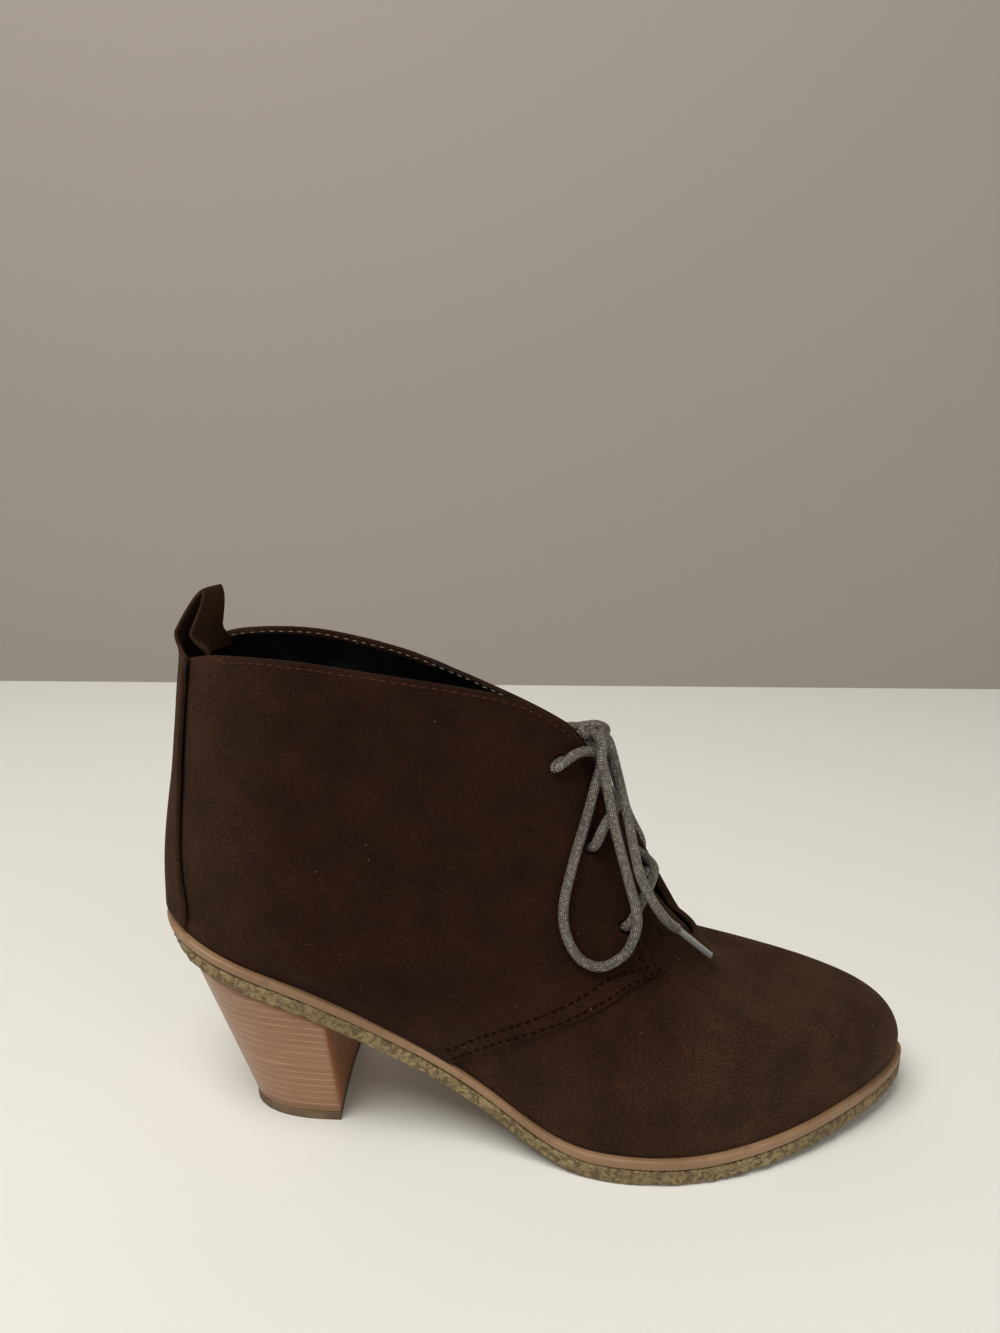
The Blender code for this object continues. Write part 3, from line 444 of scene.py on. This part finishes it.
# Soft creases of an empty boot: side, points (x, z) in mm, half width and depth in mm
CREASES = (
    (-1, ((-92, 132), (-72, 126), (-55, 121)), 9.0, -0.9),
    (-1, ((-98, 112), (-84, 104), (-74, 92)), 10.0, -0.8),
    (-1, ((-60, 112), (-40, 103), (-22, 101)), 8.0, 0.7),
    (-1, ((-46, 92), (-28, 86), (-8, 88)), 8.0, -0.9),
    (-1, ((-20, 108), (-6, 103), (10, 101)), 5.0, -0.7),
    (-1, ((-24, 97), (-8, 95), (6, 92)), 4.5, 0.6),
    (-1, ((-66, 78), (-44, 70), (-24, 58)), 11.0, 0.7),
    (-1, ((-10, 70), (6, 60), (16, 52)), 8.0, -0.6),
    (-1, ((10, 36), (14, 26), (16, 16)), 3.2, -0.5),
    (-1, ((20, 34), (25, 24), (27, 15)), 3.6, -0.5),
    (-1, ((33, 42), (38, 32), (40, 20)), 6.0, -0.5),
    (-1, ((54, 46), (60, 38), (64, 26)), 7.0, -0.4),
    (1, ((-90, 128), (-70, 122), (-50, 120)), 9.0, -0.9),
    (1, ((-50, 96), (-30, 90), (-12, 92)), 9.0, -0.8),
    (1, ((-70, 84), (-50, 74), (-30, 64)), 10.0, 0.7),
    (1, ((22, 40), (26, 28), (27, 16)), 4.0, -0.5),
    (1, ((42, 44), (48, 34), (50, 22)), 7.0, -0.5),
)
places = points_of(upper.data)
out = away_from_inside(places)
lift = np.zeros(len(places))
for side, line, half_width, depth in CREASES:
    line = np.array(line, float) / 1000
    flat = places[:, (0, 2)]
    distance = np.full(len(places), 1.0)
    for a, b in zip(line, line[1:]):
        share = np.clip(((flat - a) @ (b - a)) / ((b - a) @ (b - a)), 0, 1)
        distance = np.minimum(distance, np.linalg.norm(flat - a - share[:, None] * (b - a), axis=1))
    this_side = np.clip(side * (places[:, 1] - 0.002) / 0.006, 0, 1)
    lift += depth / 1000 * np.exp(-(distance * 1000 / half_width) ** 2) * this_side

# The lining's far wall has one shallow fold under the collar.
FOLD_HEIGHT, FOLD_HALF_WIDTH, FOLD_DEPTH = 0.1375, 0.0016, 0.0013
normals = vectors_of(upper.data.vertices, "normal")
far_lining = ((out * normals).sum(1) < -0.4) * (places[:, 1] > 0.002)
above_fold = places[:, 2] - (FOLD_HEIGHT - 0.06 * (places[:, 0] + 0.070))
back_end = np.clip((places[:, 0] + 0.092) / 0.012, 0, 1)
front_end = np.clip((-0.046 - places[:, 0]) / 0.012, 0, 1)
fold_shape = np.exp(-(above_fold / FOLD_HALF_WIDTH) ** 2)
lift -= FOLD_DEPTH * fold_shape * far_lining * back_end * front_end
put_points(upper.data, places + out * lift[:, None])

# The suede is turned in over the collar, so a narrow band inside the rim is brown too.
centres = vectors_of(upper.data.polygons, "center")
normals = vectors_of(upper.data.polygons, "normal")
rim =centres[(normals[:, 2] > 0.7) & (centres[:, 2] > 0.112)]
for face, centre in zip(upper.data.polygons, centres):
    if face.material_index and centre[2] > 0.108:
        face.material_index = int(np.min(np.linalg.norm(rim - centre, axis=1)) > 0.0014)
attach(upper, "root")
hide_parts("upper")


# Stitches
# Brown thread, about eight stitches to the inch, each a short raised length that dips at its
# ends. The rows follow the quarter's edge, its front, the box at its corner and the collar.
# The quarter's rows are near black: the thread's own dark brown, deepened as painted shade of
# the stitch holes.
def surface_of(piece):
    mesh = bmesh.new()
    mesh.from_mesh(piece.data)
    tree = BVHTree.FromBMesh(mesh)
    mesh.free()
    return tree


upper_surface = surface_of(upper)


def on_side(x, z, side, from_inside=False):
    """The point and normal of the upper's side wall at (x, z)."""
    start = Vector((x, MIDDLE_Y if from_inside else side * 0.2, z))
    toward = Vector((0, side if from_inside else -side, 0))
    place, normal, _, _ = upper_surface.ray_cast(start, toward, 0.3)
    return (place, normal) if place and (place.y - MIDDLE_Y) * side > -0.002 else (None, None)


bpy.ops.mesh.primitive_uv_sphere_add(segments=8, ring_count=6, radius=0.5, location=(0, 0, 0))
one_stitch = bpy.context.object
select_only(one_stitch)
bpy.ops.object.mode_set(mode="EDIT")
bpy.ops.mesh.select_all(action="SELECT")
bpy.ops.transform.rotate(value=math.pi / 2, orient_axis="Y", center_override=(0, 0, 0))
bpy.ops.object.mode_set(mode="OBJECT")


def stitch_row(name, line, side, pitch, stitch, thread, material, from_inside=False):
    """Copies of the stitch along a line of (x, z) points on one side of the upper."""
    path = smooth_line([Vector((x, 0, z)) for x, z in line], 0.0004)
    hits = [on_side(point.x, point.z, side, from_inside) for point in path]
    hits = [(place, normal) for place, normal in hits if place]
    run = np.cumsum([0.0] + [(b[0] - a[0]).length for a, b in zip(hits, hits[1:])])
    mesh = bmesh.new()
    count = int(run[-1] / pitch)
    for i in range(count):
        k = min(int(np.searchsorted(run, (i + 0.5) * run[-1] / count)), len(hits) - 2)
        middle, normal = hits[k]
        along = (hits[min(k + 2, len(hits) - 1)][0] - hits[max(k - 2, 0)][0]).normalized()
        across = along.cross(normal).normalized()
        turn = Matrix((along, across, across.cross(along) * (1 if from_inside else -1))).transposed()
        turn = turn @ Matrix.Diagonal((stitch, thread, thread))
        before = len(mesh.verts)
        mesh.from_mesh(one_stitch.data)
        mesh.verts.ensure_lookup_table()
        for vertex in mesh.verts[before:]:
            vertex.co = middle + turn @ vertex.co
    data = bpy.data.meshes.new(name)
    bmesh.ops.recalc_face_normals(mesh, faces=mesh.faces)
    mesh.to_mesh(data)
    mesh.free()
    data.materials.append(material)
    data.shade_smooth()
    row = bpy.data.objects.new(name, data)
    bpy.context.collection.objects.link(row)
    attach(row, "root")


def thread_finish(name, colour):
    finish = Finish(name, colour, 0.75)
    finish.set("Specular IOR Level", 0.03)
    twist = finish.noise(1800.0, 2.0)
    dark = tuple(c * 0.6 for c in colour[:3]) + (1.0,)
    finish.colour(finish.mix(finish.span(twist, 0.3, 0.7), dark, colour))
    finish.bump(twist, 0.0001, 0.5)
    return finish.material


red_thread = thread_finish("red_brown_thread", paint(84, 48, 33))
# Near black: the thread's dark brown and painted shade of the stitch holes.
hole_shaded_dark_thread = thread_finish("dark_thread_and_painted_hole_shade", paint(28, 13, 8))
pale_thread = thread_finish("grey_brown_thread", paint(150, 132, 112))


def beside(line, distance):
    """A line of (x, z) points in mm moved sideways to its left, in metres."""
    line = np.array(line, float)
    ahead = np.gradient(line, axis=0)
    ahead /= np.linalg.norm(ahead, axis=1)[:, None]
    left = np.stack([-ahead[:, 1], ahead[:, 0]], 1)
    return [tuple(p) for p in (line + left * distance) / 1000]


# On each side the quarter's lower edge runs up from the feather line to the corner, and its
# front edge, the facing, from the corner up to the collar. Points are (x, z) in mm.
QUARTER_EDGE = {
    -1: ((-27.0, 30.6), (-15.1, 37.9), (-4.0, 43.7), (10.8, 49.8), (22.1, 53.2), (36.0, 55.7)),
    1: ((-27.0, 30.5), (-13.3, 36.8), (-0.2, 41.9), (21.4, 48.0), (34.1, 50.3), (48.0, 51.5)),
}
FACING_EDGE = {
    -1: ((36.0, 55.7), (31.0, 70.6), (26.8, 88.4), (19.1, 107.0), (10.5, 123.0)),
    1: ((48.0, 51.5), (37.7, 67.7), (29.0, 86.9), (19.4, 106.0), (10.5, 121.0)),
}
SIDES = ((-1, "outer"), (1, "inner"))
EDGE_SEAM = {"pitch": 0.0027, "stitch": 0.0019, "thread": 0.0008, "material": hole_shaded_dark_thread}
FACING_SEAM = {"pitch": 0.0028, "stitch": 0.0020, "thread": 0.0005, "material": hole_shaded_dark_thread}
CORNER_SEAM = {"pitch": 0.0024, "stitch": 0.0018, "thread": 0.0005, "material": hole_shaded_dark_thread}
COLLAR_SEAM = {"pitch": 0.0029, "stitch": 0.0020, "thread": 0.0005, "material": red_thread}
LINING_SEAM = {"pitch": 0.0029, "stitch": 0.0016, "thread": 0.00035, "material": pale_thread}
for side, side_name in SIDES:
    edge, facing = QUARTER_EDGE[side], FACING_EDGE[side]
    short_edge = edge[:-1] + ((edge[-1][0] - 3.4, edge[-1][1] - 2.0),)
    stitch_row(f"edge_stitches_{side_name}", beside(edge, 1.5), side, **EDGE_SEAM)
    stitch_row(f"second_stitches_{side_name}", beside(short_edge, 5.0), side, **EDGE_SEAM)
    stitch_row(f"facing_stitches_{side_name}", beside(facing, 1.6), side, **FACING_SEAM)
    for depth in (4.2, 5.2):
        corner = beside(facing[:2], depth)
        stitch_row(f"corner_stitches_{side_name}_{depth:.0f}", corner, side, **CORNER_SEAM)


def collar_height(x, side):
    """The height of the collar's rim, felt for from above with a ray to the side wall."""
    for z in np.arange(0.160, 0.105, -0.0003):
        if on_side(x, z, side)[0]:
            return z
    return None


for side, side_name in SIDES:
    rim_line = [(x, collar_height(x, side)) for x in np.linspace(-0.099, 0.008, 28)]
    rim_line = [(x, z) for x, z in rim_line if z]
    below = [(x, z - 0.0015) for x, z in rim_line]
    stitch_row(f"collar_stitches_{side_name}", below, side, **COLLAR_SEAM)
    inside = [(x, z - 0.0014) for x, z in rim_line]
    stitch_row(f"collar_stitches_inside_{side_name}", inside, side, **LINING_SEAM, from_inside=True)
bpy.data.objects.remove(one_stitch)


# Tongue
# One piece of the same microsuede under the facings, sewn to the vamp below and free on top.
# Between the facings it sinks back under the lace.
TONGUE_SAG, SAG_HALF_WIDTH = 0.0036, 0.0080
tongue = fresh_copy("tongue", "tongue_dressed")
apply_all(tongue)
tongue.data.materials.append(upper_suede)
places = points_of(tongue.data)
sag = TONGUE_SAG * np.exp(-((places[:, 1] - MIDDLE_Y) / SAG_HALF_WIDTH) ** 2)
sag *= np.clip((places[:, 2] - 0.058) / 0.012, 0, 1) * np.clip((0.118 - places[:, 2]) / 0.012, 0, 1)
put_points(tongue.data, places - sag[:, None] * np.array((0.80, 0.0, 0.60)))
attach(tongue, "root")
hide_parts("tongue")

# Back strap and pull loop
# A strip of microsuede up the back seam, folded over at the collar into a loop for a finger
# and sewn down inside. It is black where it faces in, from its black backing and, inside the
# loop, as painted shade too. Its loop stands twisted and pinched.
LOOP_FOOT, LOOP_SHOULDER = 0.1495, 0.1570
LOOP_TWIST = math.radians(-24)
strap = fresh_copy("pull_strap", "pull_strap_dressed")
apply_all(strap)
strap.data.materials.append(suede("brown_microsuede_strap", 1.1))
strap.data.materials.append(lining.material)
fold = Vector((-0.1062, MIDDLE_Y, 0.1600))
for face in strap.data.polygons:
    middle = face.center
    inner_leg = middle.x > fold.x + 0.0005 and middle.z < LOOP_FOOT
    # The loop's inner faces take the black lining: its black backing, and also painted shade inside the
    # loop.
    loop_inside_backing_and_shade = face.normal.dot(fold - middle) > 0.3 and middle.z > LOOP_FOOT
    face.material_index = int(inner_leg or loop_inside_backing_and_shade)
places = points_of(strap.data)
rise = np.clip((places[:, 2] - LOOP_FOOT) / 0.0080, 0, 1)
rise = rise * rise * (3 - 2 * rise)
peak = np.clip((places[:, 2] - LOOP_SHOULDER) / 0.0130, 0, 1)
turn = LOOP_TWIST * rise
ahead = (places[:, 0] - fold.x) * (1 - 0.25 * rise)
side = (places[:, 1] - fold.y) * (1 - 0.28 * rise) * (1 - 0.45 * peak)
places[:, 0] = fold.x - 0.0010 * rise + ahead * np.cos(turn) - side * np.sin(turn) + 0.0030 * peak
places[:, 1] = fold.y + ahead * np.sin(turn) + side * np.cos(turn)
put_points(strap.data, places)
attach(strap, "root")
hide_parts("pull_strap")

# Insole
# Foam board covered with the same black lining.
insole = fresh_copy("insole", "insole_dressed")
apply_all(insole)
insole.data.materials.append(lining.material)
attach(insole, "root")
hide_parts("insole")

# Sole strip
# Smooth tan rubber band between the upper and the crepe, with a little gloss and rubbed marks.
# Its lower edge is drawn down half a millimetre to close the line to the crepe.
strip = Finish("smooth_tan_strip", paint(146, 112, 80), 0.42)
strip_cloud = strip.span(strip.noise(45.0, 3.0), 0.35, 0.7)
strip_tone = strip.mix(strip_cloud, paint(136, 103, 72), paint(154, 120, 88))
rubbed = strip.math("MULTIPLY", strip.span(strip.noise(260.0, 3.0), 0.58, 0.72), 0.35)
strip.colour(strip.mix(rubbed, strip_tone, paint(104, 78, 56)))
strip.rough(strip.span(strip.noise(90.0, 3.0), 0.3, 0.7, 0.38, 0.6))
strip.bump(strip.noise(400.0, 3.0), 0.00012, 0.4)
midsole = fresh_copy("midsole", "sole_strip_dressed", crease=0.35)
apply_all(midsole)
midsole.data.materials.append(strip.material)
places = points_of(midsole.data)
normals = vectors_of(midsole.data.vertices, "normal")
places[:, 2] -= 0.0005 * np.clip(-normals[:, 2] * 3, 0, 1)
put_points(midsole.data, places)
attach(midsole, "root")
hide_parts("midsole")

# Crepe sole
# Moulded crepe-look rubber, crinkled all over, olive yellow, with shade painted darker into its
# hollows. It touches the floor under the ball of the foot, where its crumbs are pressed flat.
crepe = Finish("crinkled_crepe", paint(146, 126, 87), 0.8)
crinkle = crepe.noise(480.0, 3.0, distortion=0.9, roughness=0.6)
crepe_cloud = crepe.span(crepe.noise(40.0, 3.0), 0.35, 0.7)
crepe_tone = crepe.mix(crepe_cloud, paint(136, 117, 78), paint(158, 138, 98))
# Where the crinkle sinks, the colour is painted dark: painted shade in the hollows.
crepe.colour(crepe.mix(crepe.span(crinkle, 0.38, 0.60), paint(98, 80, 50), crepe_tone))
crepe.bump(crinkle, 0.0012, 1.0)
outsole = fresh_copy("outsole", "crepe_sole_dressed", crease=0.35, levels=3)
apply_all(outsole)
outsole.data.materials.append(crepe.material)
crumble = bpy.data.textures.new("crepe_crumble", "CLOUDS")
crumble.noise_scale = 0.0022
crumble.noise_depth = 2
rough_skin = outsole.modifiers.new("crumble", "DISPLACE")
rough_skin.texture = crumble
rough_skin.texture_coords = "LOCAL"
rough_skin.strength = 0.0009
rough_skin.mid_level = 0.5
apply_all(outsole)
places = points_of(outsole.data)
places[:, 2] = np.maximum(places[:, 2], 0.0)
put_points(outsole.data, places)
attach(outsole, "root")
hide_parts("outsole")

# Heel
# A block wrapped in printed stacked-leather paper: pinkish tan with fine pale lines, and a
# plain darker covering on its front face. Its rubber top piece stands on the floor.
HEEL_LAYER = 0.00275
stack = Finish("stacked_heel_wrap", paint(154, 111, 78), 0.42)
heel_coords = stack.coords.outputs["Object"]
long_way = stack.node("Mapping", {"Vector": heel_coords, "Scale": (16.0, 16.0, 1500.0)})
broad_way = stack.node("Mapping", {"Vector": heel_coords, "Scale": (10.0, 10.0, 330.0)})
fine = stack.noise(1.0, 2.0, place=long_way.outputs[0])
broad = stack.noise(1.0, 2.0, place=broad_way.outputs[0])
heel_tone = stack.mix(stack.span(broad, 0.35, 0.65), paint(144, 100, 66), paint(153, 109, 75))
scratch = stack.math("MULTIPLY", stack.span(fine, 0.42, 0.34), 0.30)
heel_tone = stack.mix(scratch, heel_tone, paint(122, 80, 52))
heel_place = stack.node("SeparateXYZ", {0: heel_coords})
waver = stack.math("MULTIPLY", stack.noise(45.0, 2.0), 0.0011)
wavy_height = stack.math("ADD", heel_place.outputs[2], waver)
layer = stack.math("FRACT", stack.math("DIVIDE", wavy_height, HEEL_LAYER))
joint = stack.span(stack.math("ABSOLUTE", stack.math("SUBTRACT", layer, 0.5)), 0.13, 0.04)
patchy = stack.span(stack.noise(120.0, 2.0), 0.35, 0.62, 0.15, 0.65)
stack.colour(stack.mix(stack.math("MULTIPLY", joint, patchy), heel_tone, paint(188, 150, 114)))
stack.set("Coat Weight", 0.12)
stack.bump(fine, 0.00008, 0.4)
breast = Finish("heel_breast_cover", paint(158, 98, 56), 0.5)
breast_cloud = breast.span(breast.noise(50.0, 3.0), 0.3, 0.7)
breast.colour(breast.mix(breast_cloud, paint(148, 90, 50), paint(166, 106, 62)))
breast.bump(breast.noise(600.0, 3.0), 0.00006, 0.5)
heel = fresh_copy("heel_block", "heel_dressed", crease=1.0, sharp=35)
heel.data.materials.append(stack.material)
heel.data.materials.append(breast.material)
for face in heel.data.polygons:
    face.material_index = int(face.normal.x > 0.7)
apply_all(heel)
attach(heel, "root")
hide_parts("heel_block")

rubber = Finish("top_piece_rubber", paint(109, 87, 61), 0.7)
rubber_cloud = rubber.span(rubber.noise(160.0, 3.0), 0.35, 0.7)
rubber.colour(rubber.mix(rubber_cloud, paint(92, 72, 50), paint(120, 98, 70)))
rubber.bump(rubber.noise(700.0, 3.0), 0.00015, 0.6)
top_piece = fresh_copy("top_piece", "top_piece_dressed", crease=1.0, sharp=35)
apply_all(top_piece)
top_piece.data.materials.append(rubber.material)
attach(top_piece, "root")
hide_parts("top_piece")

# Floor and light
# A white tabletop in front of a pale grey wall, under a wide softbox and a fill. The wall
# stands behind the boot, and the tabletop reaches from it towards the camera and past it.
STAGE_SIZE, WALL_Y = 4.4, 0.475
table = Finish("white_table", paint(240, 238, 229), 0.55)
table.bump(table.noise(900.0, 2.0), 0.00004)
bpy.ops.mesh.primitive_plane_add(size=STAGE_SIZE, location=(0, WALL_Y - STAGE_SIZE / 2, 0))
tabletop = bpy.context.object
tabletop.name = "tabletop"
wall_paint = Finish("grey_wall", paint(160, 151, 142), 0.8)
wall_paint.bump(wall_paint.noise(400.0, 2.0), 0.0001)
bpy.ops.mesh.primitive_plane_add(size=STAGE_SIZE, location=(0, WALL_Y, 0))
wall = bpy.context.object
wall.name = "wall"
for stage, finish in ((tabletop, table), (wall, wall_paint)):
    if stage is wall:
        stage.rotation_euler.x = math.pi / 2
    select_only(stage)
    bpy.ops.object.transform_apply(location=True, rotation=True, scale=True)
    stage.data.materials.append(finish.material)


LIT_POINT = Vector((0.0, 0.0, 0.06))


def softbox(name, place, size, power, colour):
    """A square light that faces the boot."""
    data = bpy.data.lights.new(name, "AREA")
    data.shape = "SQUARE"
    data.size = size
    data.energy = power
    data.color = colour
    light = bpy.data.objects.new(name, data)
    light.location = place
    light.rotation_euler = (LIT_POINT - Vector(place)).to_track_quat("-Z", "Y").to_euler()
    bpy.context.collection.objects.link(light)


softbox("key_softbox", (-0.36, -0.42, 1.20), 0.7, 12.8, (1.0, 0.985, 0.96))
softbox("fill_softbox", (0.9, -0.9, 0.7), 0.9, 2.6, (0.97, 0.98, 1.0))
world = bpy.data.worlds.new("studio")
world.use_nodes = True
world.node_tree.nodes["Background"].inputs[0].default_value = (0.96, 0.97, 1.0, 1.0)
world.node_tree.nodes["Background"].inputs[1].default_value = 0.30
bpy.context.scene.world = world
bpy.context.scene.view_settings.view_transform = "Standard"
